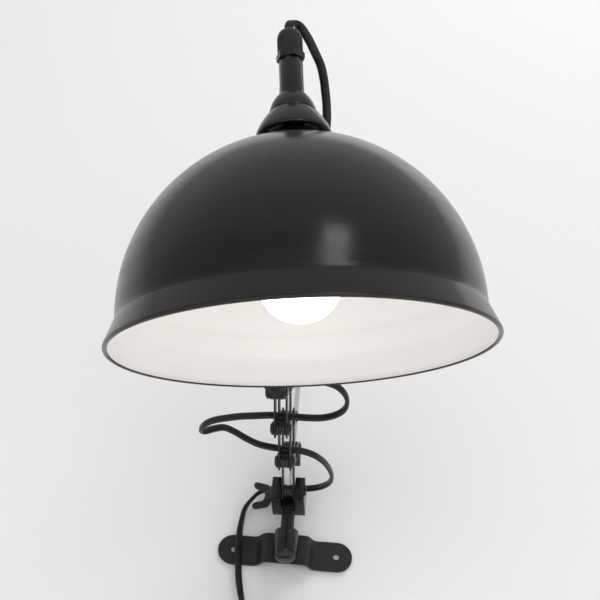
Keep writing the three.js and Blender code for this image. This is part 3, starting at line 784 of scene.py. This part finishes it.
# ---- wall bracket -----------------------------------------------------------------------------------
@dataclass
class WallBracket:
    """Hat strap with round feet, and the barrel and sleeve that the arm turns on."""

    length: float = 131.0
    height: float = 30.0
    thick: float = 2.5
    rise: float = 10.7
    crown: float = 20.5
    knee: float = 27.5
    hole: float = 3.0
    hole_x: float = 50.0

    def strap(self) -> Surface:
        """Flat stadium folded along its length.

        Each point moves to the strap's line at its own X, and out along the line's normal.

        Returns:
            The strap.
        """
        reach, half = self.length / 2 - self.height / 2, self.height / 2
        angle = np.linspace(-np.pi / 2, np.pi / 2, 25)
        end = np.stack([reach + half * np.cos(angle), half * np.sin(angle)], -1)
        outline = np.concatenate([end, -end])
        holes = [circle(self.hole, 36, (x, 0)) for x in (-self.hole_x, self.hole_x)]
        mid = self.thick / 2
        line = rounded([(-66, -mid), (-self.knee, -mid), (-self.crown, -self.rise - mid),
                        (self.crown, -self.rise - mid), (self.knee, -mid), (66, -mid)],
                       4.2, closed=False, steps=9)
        folds = [np.array([(x, -half), (x, half)]) for x in line[1:-1, 0]]
        flat = plate(outline, self.thick, holes, folds)
        x, z, out = flat.points.T
        slope = np.gradient(line[:, 1], line[:, 0])
        fine = np.linspace(-66, 66, 2401)
        y = np.interp(fine, line[:, 0], line[:, 1])
        tilt = np.interp(x, line[:, 0], slope)
        size = np.sqrt(1 + tilt**2)
        flat.points = np.stack([x + out * tilt / size, np.interp(x, fine, y) - out / size, z], -1)
        return flat.outward()

    def build(self) -> None:
        """Makes the fixed pieces on the wall."""
        piece("hat_strap", self.strap(), "wall_base", [Finish.STEEL], ["wall_bracket"], 0.35)
        curve = np.radians(np.linspace(0, 90, 12))
        base = np.stack([3.5 + 8 * np.sin(curve), -10 - 8 * np.cos(curve)], -1)
        profile = np.concatenate([[[0, -18]], base,
                                  [[11.5, 10.8], [11.4, 11.4], [10.9, 11.9], [10.4, 12], [3.6, 12],
                                   [3.6, -10], [0, -10]]])
        barrel = turned(profile, 72).placed(shift(0, POST_Y, 0))
        piece("round_barrel", barrel, "wall_base", [Finish.ENAMEL], ["pivot_barrel"], sharp=50)
        ring = [[3.6, 12.3], [6.0, 12.3], [6.5, 12.8], [6.5, 33.2], [6.0, 33.7], [3.6, 33.7]]
        piece("turning_sleeve", turned(ring, 48, closed=True).placed(shift(0, POST_Y, 0)), "wall_base",
              [Finish.PLASTIC], ["pivot_sleeve"])
        head = [[0, -17.5], [2.3, -17.5], [2.5, -17.2], [2.5, -10.4], [4.5, -10.4], [4.5, -8.6],
                [3.8, -7.6], [2.4, -7.2], [0, -7.1]]
        screw = turned(head, 36).placed(turn(-90, "X"))
        piece("pan_screw", screw, "wall_base", [Finish.ZINC], ["barrel_screw"])


# ---- scissor arm ------------------------------------------------------------------------------------
@dataclass
class ScissorArm:
    """Clamp block with its post and wing screw, and three cells of paired flat bars with their rivets."""

    pivot_y: float = -41.0
    pivot_z: float = 47.0
    span: float = 75.7
    slope: float = 40.0
    bar_width: float = 11.0
    bar_end: float = 9.0
    bar_thick: float = 1.6
    inner: float = 4.4
    outer: float = 6.3
    drum: float = 6.2
    drum_half: float = 4.1
    front_post: float = -232.5
    cells: int = 3
    sides: tuple = ((-1, "left"), (1, "right"))

    def pivot(self, step: float, level: float) -> tuple:
        """Y and Z of a pivot: step counts cells outwards, level is 0 below, 0.5 between and 1 above."""
        angle = np.radians(self.slope)
        return (self.pivot_y - step * self.span * np.cos(angle),
                self.pivot_z + level * self.span * np.sin(angle))

    def block(self) -> None:
        """U-shaped clamp block, post, cap, first pivot pin and wing screw."""
        u = [(-16, -47), (-6.5, -47), (-6.5, -31), (6.5, -31), (6.5, -47), (16, -47), (16, -15.6),
             (-16, -15.6)]
        body = plate(rounded(u, 1.1, steps=3), 25,
                     [circle(3.6, 36, (0, POST_Y))]).placed(ARM @ shift(0, 0, 46.5))
        piece("clamp_fork", body, "swing_block", [Finish.ENAMEL], ["clamp_block"], 0.7)
        post = [[0, -9], [2.8, -9], [3.25, -8.5], [3.25, 187.5], [2.8, 188], [0, 188]]
        piece("guide_post", turned(post, 64).placed(ARM @ shift(0, POST_Y, 0)), "swing_block",
              [Finish.CHROME], ["rear_post"])
        cap = [[0, 188.3], [4.6, 188.3], [5, 188.7], [5, 191.6], [4.4, 193.2], [2.6, 194], [0, 194.2]]
        piece("post_end_cap", turned(cap, 48).placed(ARM @ shift(0, POST_Y, 0)), "swing_block",
              [Finish.PLASTIC], ["post_cap"])
        self.rivet("clamp_pivot", self.pivot(0, 0), 16, True, "swing_block", "block_pivot_pin")
        hub = [[0, -24], [4.6, -24], [5.3, -23.4], [5.5, -22.4], [5.5, -18], [5.0, -16.6], [4.2, -16.3],
               [2.9, -16.3], [2.9, -4], [2.4, -3.6], [0, -3.6]]
        wing = [(-18.5, -1), (-18, 6), (-20.5, 11.5), (-34.2, 14.6), (-36.6, 11.6), (-34.4, 8.0),
                (-25.2, 5.6), (-24.2, -1)]
        edge = np.array(rounded(wing, 2.6, steps=6))
        wings = [plate(edge * [1, side], 3.0).placed(turn(90, "X")) for side in (1, -1)]
        screw = joined(turned(hub, 48).placed(ALONG_X), *wings).placed(ARM @ shift(0, POST_Y, 49))
        piece("wing_screw", screw, "rear_wing", [Finish.STEEL], ["rear_wing_screw"], 0.6)

    def rivet(self, name: str, pivot: tuple, grip: float, with_drum: bool, body: str, node: str) -> None:
        """One rivet along X with domed heads, and a drum between the bars or none.

        Args:
            name: The piece's name.
            pivot: Its Y and Z.
            grip: Half width of what it holds.
            with_drum: Whether it carries a drum.
            body: The body it rides on.
            node: The CAD node that it stands for.
        """
        face = grip + GAP
        drum = [[self.drum - 0.5, 0], [self.drum - 0.5, 1.0], [self.drum, 1.5],
                [self.drum, self.drum_half - 0.5], [self.drum - 0.5, self.drum_half], [2.7, self.drum_half]]
        dome = [[2.7, face], [4.4, face], [4.8, face + 0.35], [4.5, face + 0.8], [3.4, face + 1.25],
                [1.8, face + 1.45], [0, face + 1.5]]
        half = np.array((drum if with_drum else [[2.7, 0]]) + dome, float)
        profile = np.concatenate([(half * [1, -1])[::-1], half])
        piece(name, turned(profile, 44).placed(ARM @ shift(0, *pivot) @ ALONG_X), body, [Finish.STEEL],
              [node])

    def bar(self, cell: int, slope: int, x: float) -> Surface:
        """Flat bar with half-round ends and three holes, hung at its middle pivot.

        Args:
            cell: Number of its cell, from 0.
            slope: 1 where it rises outwards, -1 where it falls.
            x: Middle of its thickness.

        Returns:
            The bar.
        """
        reach, half = self.span / 2 + self.bar_end - self.bar_width / 2, self.bar_width / 2
        angle = np.linspace(-np.pi / 2, np.pi / 2, 17)
        end = np.stack([reach + half * np.cos(angle), half * np.sin(angle)], -1)
        holes = [circle(3.0, 28, (s * self.span / 2, 0)) for s in (-1, 0, 1)]
        rise = np.radians(self.slope)
        along = np.array([0, -np.cos(rise), slope * np.sin(rise)])
        across = np.cross([1, 0, 0], along)
        place = from_axes(along, across, (1, 0, 0), (x, *self.pivot(cell + 0.5, 0.5)))
        return plate(np.concatenate([end, -end]), self.bar_thick, holes).placed(ARM @ place)

    def collar(self, name: str, node: str, body: str, rings: Surface, pivot: tuple, back: float,
               half: float) -> None:
        """Collar on an upright, with a round-nosed tongue that carries a pivot.

        Args:
            name: The piece's name.
            node: The CAD node that it stands for.
            body: The body it rides on.
            rings: The collar's own shell.
            pivot: Y and Z of the pivot.
            back: Y at which the tongue ends inside the collar.
            half: Half width of the tongue.
        """
        sign = np.sign(back - pivot[0])
        angle = np.linspace(np.pi / 2, 3 * np.pi / 2, 21)
        nose = np.stack([pivot[0] + sign * self.drum * np.cos(angle),
                         pivot[1] + self.drum * np.sin(angle)], -1)
        tail = [(back, pivot[1] - self.drum), (back, pivot[1] + self.drum)]
        hole = circle(3.0, 32, pivot)
        tongue = plate(np.concatenate([nose, tail]), 2 * half, [hole]).placed(OUTLINE_YZ)
        piece(name, joined(rings, tongue).placed(ARM), body, [Finish.ENAMEL], [node], 0.4)

    def build(self) -> None:
        """Makes the whole arm."""
        self.block()
        for cell in range(self.cells):
            for side, word in self.sides:
                for kind, slope, x in (("inner", 1, self.inner), ("outer", -1, self.outer)):
                    bar = self.bar(cell, slope, side * (x + self.bar_thick / 2))
                    piece(f"{kind}_flat_bar_{cell + 1}_{word}", bar, f"{kind}_pair_{cell + 1}",
                          [Finish.STEEL], [f"{kind}_bar_{cell + 1}_{word}"], 0.3)
            self.rivet(f"cross_rivet_{cell + 1}", self.pivot(cell + 0.5, 0.5), 7.9, True,
                       f"inner_pair_{cell + 1}",
                       f"middle_rivet_{cell + 1}")
        self.rivet("rear_slide_pin", self.pivot(0, 1), 7.9, False, "outer_pair_1", "rear_slider_rivet")
        for joint in range(1, self.cells):
            self.rivet(f"bottom_rivet_{joint}", self.pivot(joint, 0), 7.9, True, f"outer_pair_{joint}",
                       f"lower_rivet_{joint}")
            self.rivet(f"top_rivet_{joint}", self.pivot(joint, 1), 7.9, True, f"inner_pair_{joint}",
                       f"upper_rivet_{joint}")
        self.rivet("front_pivot_pin", self.pivot(3, 0), 7.9, False, "outer_pair_3", "front_block_rivet")
        self.rivet("front_slide_pin", self.pivot(3, 1), 6.0, False, "inner_pair_3", "front_slider_rivet")
        self.collars()

    def collars(self) -> None:
        """Makes the rear slider, the front block and slider, and the set screw."""
        square = rounded([(-8, -31.5), (8, -31.5), (8, -15), (-8, -15)], 1.6, steps=5)
        top = self.pivot(0, 1)[1]
        slide = plate(square, 13, [circle(3.8, 36, (0, POST_Y))]).placed(shift(0, 0, top))
        self.collar("rear_slide_block", "rear_slider", "rear_slide", slide, self.pivot(0, 1), -31.2, 5.9)
        for name, node, body, low, high, pivot, half in (
                ("neck_carrier", "front_block", "head_carrier", 39.5, 58.0, self.pivot(3, 0), 5.9),
                ("neck_slide", "front_slider", "front_slide", top - 6.5, top + 6.5, self.pivot(3, 1), 4.1)):
            ring = [[4.3, low], [8.4, low], [9, low + 0.6], [9, high - 0.6], [8.4, high], [4.3, high]]
            shell = turned(ring, 56, closed=True).placed(shift(0, self.front_post, 0))
            self.collar(name, node, body, shell, pivot, self.front_post + 6.5, half)
        screw = [[0, 4.3], [2.2, 4.3], [2.2, 9.3], [3.2, 9.3], [3.6, 9.7], [3.6, 12.4], [3.1, 13], [0, 13]]
        ribs = 1 + 0.02 * np.cos(24 * np.linspace(0, 2 * np.pi, 144, endpoint=False))
        swell = np.where((np.array(screw)[:, :1] > 3.4), ribs, 1.0)
        knob = turned(screw, 144, swell).placed(ARM @ shift(0, self.front_post, 50) @ ALONG_X)
        piece("neck_set_screw", knob, "head_carrier", [Finish.ZINC], ["front_set_screw"])


# ---- head -------------------------------------------------------------------------------------------
@dataclass
class SwanNeck:
    """Upright bent over forwards, with the fork that the head tilts in."""

    radius: float = 4.0
    bottom: float = 40.0
    straight: float = 140.0
    pin_back: float = 19.0
    pin_up: float = 203.0

    def build(self) -> None:
        """Makes the tube with its fork, and the tilt pin."""
        x, y = (ARM @ [0, -232.5, 0, 1])[:2]
        rise, root = ((HEAD @ [0, back, up, 1])[:3] for back, up in ((45, 204), (30, 203)))
        t = self.straight
        line = [[x, y, self.bottom], [x, y, 90], [x, y, t - 1], [x, y, t + 12], [x - 0.1, y - 8, t + 34],
                [x - 0.4, y - 28, t + 47], [x - 0.8, y - 60, t + 51], [x - 1.4, y - 110, t + 50], rise,
                root]
        curve = smooth(line, 18)
        side = np.broadcast_to([1.0, 0, 0], curve.shape)
        tube = swept(curve, side, circle(self.radius, 40))
        back, up = self.pin_back, self.pin_up
        angle = np.linspace(np.pi / 2, 3 * np.pi / 2, 25)
        nose = np.stack([back + 7 * np.cos(angle), up + 7 * np.sin(angle)], -1)
        ear = np.concatenate([nose, [(back + 6, up - 5), (back + 12.5, up - 5), (back + 12.5, up + 5),
                                     (back + 6, up + 5)]])
        hole = circle(2.8, 32, (back, up))
        ears = [plate(ear, 3, [hole]).placed(HEAD @ shift(x_sign * 4.8, 0, 0) @ OUTLINE_YZ)
                for x_sign in (-1, 1)]
        bridge = rounded([(-6.3, back + 8.5), (6.3, back + 8.5), (6.3, back + 13), (-6.3, back + 13)], 1.0)
        web = plate(bridge, 10).placed(HEAD @ shift(0, 0, up))
        piece("bent_neck", joined(tube, *ears, web), "neck", [Finish.ENAMEL], ["swan_neck"], 0.4, 45)
        pin = [[0, -8.2], [2.6, -8.1], [3.9, -7.6], [4.2, -7.0], [4.2, -6.9], [2.5, -6.9], [2.5, 6.9],
               [4.2, 6.9], [4.2, 7.0], [3.9, 7.6], [2.6, 8.1], [0, 8.2]]
        piece("tilt_bolt", turned(pin, 40).placed(HEAD @ shift(0, back, up) @ ALONG_X), "head",
              [Finish.ZINC], ["tilt_pin"])


@dataclass
class DomeHead:
    """Spun dome with its bell cap, stem, fittings, holder and bulb."""

    radius: float = 126.5
    equator: float = 23.9
    rim: float = 132.6
    bead: float = 1.8
    wall: float = 1.4
    hole: float = 7.9

    def dome(self) -> Surface:
        """Half-round dome, skirt, quadratic flare and rolled bead, with an even wall inside."""
        angle = np.linspace(np.arcsin(self.hole / self.radius), np.pi / 2, 90)
        ball = np.stack([self.radius * np.sin(angle), self.equator + self.radius * np.cos(angle)], -1)
        t = np.linspace(0, 1, 18)[:, None]
        start, mid, end = np.array([[self.radius, 20.0], [self.radius + 4.5, 10.0],
                                    [self.rim + self.bead, self.bead]])
        flare = (1 - t) ** 2 * start + 2 * t * (1 - t) * mid + t**2 * end
        outer = np.concatenate([ball, flare])
        way = np.gradient(outer, axis=0)
        way /= np.linalg.norm(way, axis=1, keepdims=True)
        inner = (outer + self.wall * way[:, ::-1] * [1, -1])[::-1]
        inner[-1, 0] = self.hole
        roll = np.radians(np.linspace(8, 172, 12))
        bead = np.stack([self.rim + self.bead * np.cos(roll), self.bead - self.bead * np.sin(roll)], -1)
        profile = np.concatenate([outer, bead, inner])
        shell = turned(profile, 200, closed=True)
        row = np.repeat(np.arange(len(profile)), 200)
        shell.quad_finish = np.where((row >= len(outer) + 10) & (row < len(profile) - 1), 1, 0)
        return shell

    def bell(self) -> Surface:
        """Two-tier bell: smooth curves above and below a sharp groove."""
        upper = smooth([[9.3, 191.6], [10.8, 190], [12.8, 187.5], [14.4, 185], [15.8, 182.2],
                        [16.9, 178.6], [17.2, 177.4]])
        lower = smooth([[17.0, 176.7], [19.9, 173], [23.4, 168], [26.4, 162.4], [27.4, 159.2],
                        [27.2, 158.2], [26.6, 157.6]])
        inner = smooth([[24.6, 157.6], [24.6, 160.4], [21.6, 167.4], [18.2, 172.2], [15.6, 176.6],
                        [14.2, 181.4],
                        [12.4, 185], [9.3, 188.6]])
        return turned(np.concatenate([upper, lower, inner]), 128, closed=True)

    def stem(self) -> Surface:
        """Stem tube with the lug behind it for the tilt bolt."""
        tube = turned([[7.9, 172], [9, 172], [9, 218.6], [8.6, 219.2], [7.9, 219.2]], 72, closed=True)
        angle = np.linspace(np.pi / 2, -np.pi / 2, 21)
        nose = np.stack([19 + 6.5 * np.cos(angle), 203 + 6.5 * np.sin(angle)], -1)
        lug = plate(np.concatenate([nose, [(8.2, 196.5), (8.2, 209.5)]]), 6, [circle(2.8, 32, (19, 203))])
        return joined(tube, lug.placed(OUTLINE_YZ))

    def hexagon(self) -> Surface:
        """Thin hexagon with chamfered corners: its radius is that of the flats, and at most the chamfer's."""
        angle = np.linspace(0, 2 * np.pi, 144, endpoint=False)
        flats = 9.5 / np.cos((angle - np.radians(12) + np.pi / 6) % (np.pi / 3) - np.pi / 6)
        profile = np.array([[4.2, 219.5], [10.2, 219.5], [10.75, 219.9], [10.97, 220.4], [10.97, 223.7],
                            [10.75, 224.1],
                            [10.2, 224.5], [4.2, 224.5]])
        swell = np.where(profile[:, :1] > 5, np.minimum(flats[None] / profile[:, :1], 1.0), 1.0)
        return turned(profile, 144, swell, closed=True)

    def gland(self) -> Surface:
        """Round compression nut with fine ribs on its side and a smooth domed end."""
        curve = np.radians(np.linspace(4, 86, 14))
        crown = np.stack([5.2 + 4.3 * np.cos(curve), 235.5 + 8 * np.sin(curve)], -1)
        side = np.array([[3.6, 224.8], [8.8, 224.8], [9.3, 225.4], [9.5, 226.2], [9.5, 230], [9.5, 234.4]])
        profile = np.concatenate([side, crown, [[5.0, 243.5], [3.6, 243.3]]])
        ribs = 0.5 - 0.5 * np.cos(40 * np.linspace(0, 2 * np.pi, 320, endpoint=False))
        deep = np.interp(profile[:, 1], [225.2, 226.2, 234.4, 238.5], [0, 1, 1, 0]) * (profile[:, 0] > 8)
        return turned(profile, 320, 1 - 0.045 * deep[:, None] * ribs, closed=True)

    def bulb(self) -> Surface:
        """Pear-shaped glass: a ball that draws in to the neck."""
        angle = np.radians(np.linspace(0, 112, 34))
        ball = np.stack([30 * np.sin(angle), 49.5 - 30 * np.cos(angle)], -1)
        neck = smooth([ball[-1], [24.6, 67], [21.5, 72], [17, 80], [14, 88], [13, 94]], 6)[1:]
        return turned(np.concatenate([ball, neck, [[0, 94]]]), 96)

    def screw_cap(self) -> Surface:
        """Bulb's screw cap, its radius swelling along a helix, with the insulator and contact."""
        height = np.linspace(94.3, 118, 72)
        angle = np.linspace(0, 2 * np.pi, 64, endpoint=False)
        thread = 0.35 * np.sin(2 * np.pi * height[:, None] / 3.6 - angle)
        fade = np.interp(height, [94.3, 96, 116, 118], [0, 1, 1, 0])[:, None]
        profile = np.concatenate([[[0, 94.3]], np.stack([np.full(72, 12.85), height], -1),
                                  [[9, 123], [4.6, 124.6], [4.5, 125.6], [0, 126]]])
        swell = np.ones((len(profile), 64))
        swell[1:73] = 1 + thread * fade / 12.85
        return turned(profile, 64, swell)

    def build(self) -> None:
        """Makes the head's pieces."""
        holder = [[7.8, 146], [15.4, 146], [16.4, 145.7], [19.6, 142.6], [20, 141.8], [20, 128],
                  [19.4, 127.4],
                  [19.4, 126.2], [20, 125.6], [20, 97], [19.4, 96], [14.6, 96], [14.6, 134], [7.8, 134]]
        neck = [[5, 128], [7.3, 128], [7.5, 128.3], [7.5, 199.7], [7.3, 200], [5, 200]]
        nut = np.array([[7.8, 150.8], [11.6, 150.8], [12, 151.2], [12, 153.6], [11.6, 154], [7.8, 154]])
        for name, surface, finishes, node, sharp in (
                ("dome_shade", self.dome(), [Finish.DOME, Finish.LINING], "shade", 60),
                ("bell_cover", self.bell(), [Finish.ENAMEL], "bell_cap", 50),
                ("stem_with_lug", self.stem(), [Finish.ENAMEL], "stem_tube", 40),
                ("hexagon_flange", self.hexagon(), [Finish.STEEL], "hex_fitting", 30),
                ("ribbed_gland", self.gland(), [Finish.PLASTIC], "gland_nut", 60),
                ("threaded_neck", turned(neck, 56, closed=True), [Finish.STEEL], "neck_tube", 40),
                ("ring_nut", turned(nut, 56, closed=True), [Finish.ZINC], "lock_nut", 40),
                ("bulb_holder", turned(holder, 72, closed=True), [Finish.PLASTIC], "lamp_holder", 40),
                ("bulb_cap", self.screw_cap(), [Finish.ZINC], "bulb_screw_cap", 60),
                ("opal_bulb", self.bulb(), [Finish.OPAL], "bulb", 60)):
            piece(name, surface.placed(HEAD), "head", finishes, [node], sharp=sharp)


# ---- room -------------------------------------------------------------------------------------------
@dataclass
class Studio:
    """Pale wall and floor, an even bright surround and soft lamps."""

    wall_y: float = 0.0008
    floor_z: float = -0.60
    low: float = 0.10
    high: float = 0.60
    paint: tuple = (0.86, 0.86, 0.865)

    def sheet(self, name: str, corners: list, see_through: bool) -> None:
        """One plain stage surface.

        Args:
            name: Its name.
            corners: Its four corners in metres.
            see_through: Whether its back is clear.
        """
        mesh = bpy.data.meshes.new(name)
        mesh.from_pydata(corners, [], [(0, 1, 2, 3)])
        obj = bpy.data.objects.new(name, mesh)
        bpy.context.scene.collection.objects.link(obj)
        n = Nodes(name + "_paint")
        cloud = n.noise(n.object_point(), 3.0, 3)
        front = n.add("ShaderNodeBsdfDiffuse", {"Color": n.tint(cloud, self.paint,
                                                                tuple(c * 1.01 for c in self.paint))})
        surface = front.outputs[0]
        if see_through:
            back = n.add("ShaderNodeNewGeometry").outputs["Backfacing"]
            clear = n.add("ShaderNodeBsdfTransparent").outputs[0]
            surface = n.add("ShaderNodeMixShader", {0: back, 1: surface, 2: clear}).outputs[0]
        n.tree.links.new(surface, n.output.inputs["Surface"])
        mesh.materials.append(n.material)

    def lamp(self, name: str, place: tuple, aim: tuple, size: tuple, power: float, mirrored: bool) -> None:
        """Rectangular soft lamp.

        Args:
            name: Its name.
            place: Its middle in metres.
            aim: The point it faces.
            size: Width and height.
            power: Watts.
            mirrored: Whether it shows in reflections.
        """
        data = bpy.data.lights.new(name, "AREA")
        data.shape, data.size, data.size_y, data.energy = "RECTANGLE", size[0], size[1], power
        obj = bpy.data.objects.new(name, data)
        bpy.context.scene.collection.objects.link(obj)
        away = np.array(place, float) - np.array(aim, float)
        away /= np.linalg.norm(away)
        side = np.cross([0, 0, 1.0], away)
        side /= np.linalg.norm(side)
        obj.matrix_world = Matrix(from_axes(side, np.cross(away, side), away, place).tolist())
        obj.visible_glossy = mirrored

    def surround_light(self) -> None:
        """Even light that is brightest overhead and dimmer low down, by the height of its direction."""
        world = bpy.data.worlds.new("surround")
        bpy.context.scene.world = world
        world.use_nodes = True
        nodes, links = world.node_tree.nodes, world.node_tree.links
        point = nodes.new("ShaderNodeTexCoord").outputs["Generated"]
        split = nodes.new("ShaderNodeSeparateXYZ")
        links.new(point, split.inputs[0])
        ramp = nodes.new("ShaderNodeMapRange")
        for name, value in (("From Min", -0.55), ("From Max", 0.75), ("To Min", self.low),
                            ("To Max", self.high)):
            ramp.inputs[name].default_value = value
        links.new(split.outputs["Z"], ramp.inputs["Value"])
        links.new(ramp.outputs["Result"], nodes["Background"].inputs["Strength"])
        nodes["Background"].inputs["Color"].default_value = (1, 1, 1, 1)

    def build(self) -> None:
        """Makes the wall, the floor, the surround and the lamps."""
        y, z = self.wall_y, self.floor_z
        self.sheet("wall", [(-4, y, -0.6), (4, y, -0.6), (4, y, 4), (-4, y, 4)], True)
        self.sheet("floor", [(-4, -4, z), (4, -4, z), (4, 4, z), (-4, 4, z)], False)
        self.surround_light()
        self.lamp("window_lamp", (0.5, -2.3, 0.15), (0, -0.3, 0), (0.45, 0.9), 3.6, True)
        self.lamp("ceiling_lamp", (0.9, -1.3, 2.3), (0, -0.1, 0), (2.2, 1.6), 36, False)
        self.lamp("front_lamp", (-0.4, -2.6, -0.3), (0, 0, 0.1), (1.6, 1.6), 15, False)
        bpy.context.scene.view_settings.view_transform = "Standard"


def main() -> None:
    """Builds the camera, the flex, the lamp and the room in order."""
    Camera().build()
    for part in (Flex(), WallBracket(), ScissorArm(), SwanNeck(), DomeHead(), Studio()):
        part.build()
        log.info("%s is built", type(part).__name__)


if __name__ == "__main__":
    logging.basicConfig(level=logging.INFO, format="%(message)s")
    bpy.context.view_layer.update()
    main()
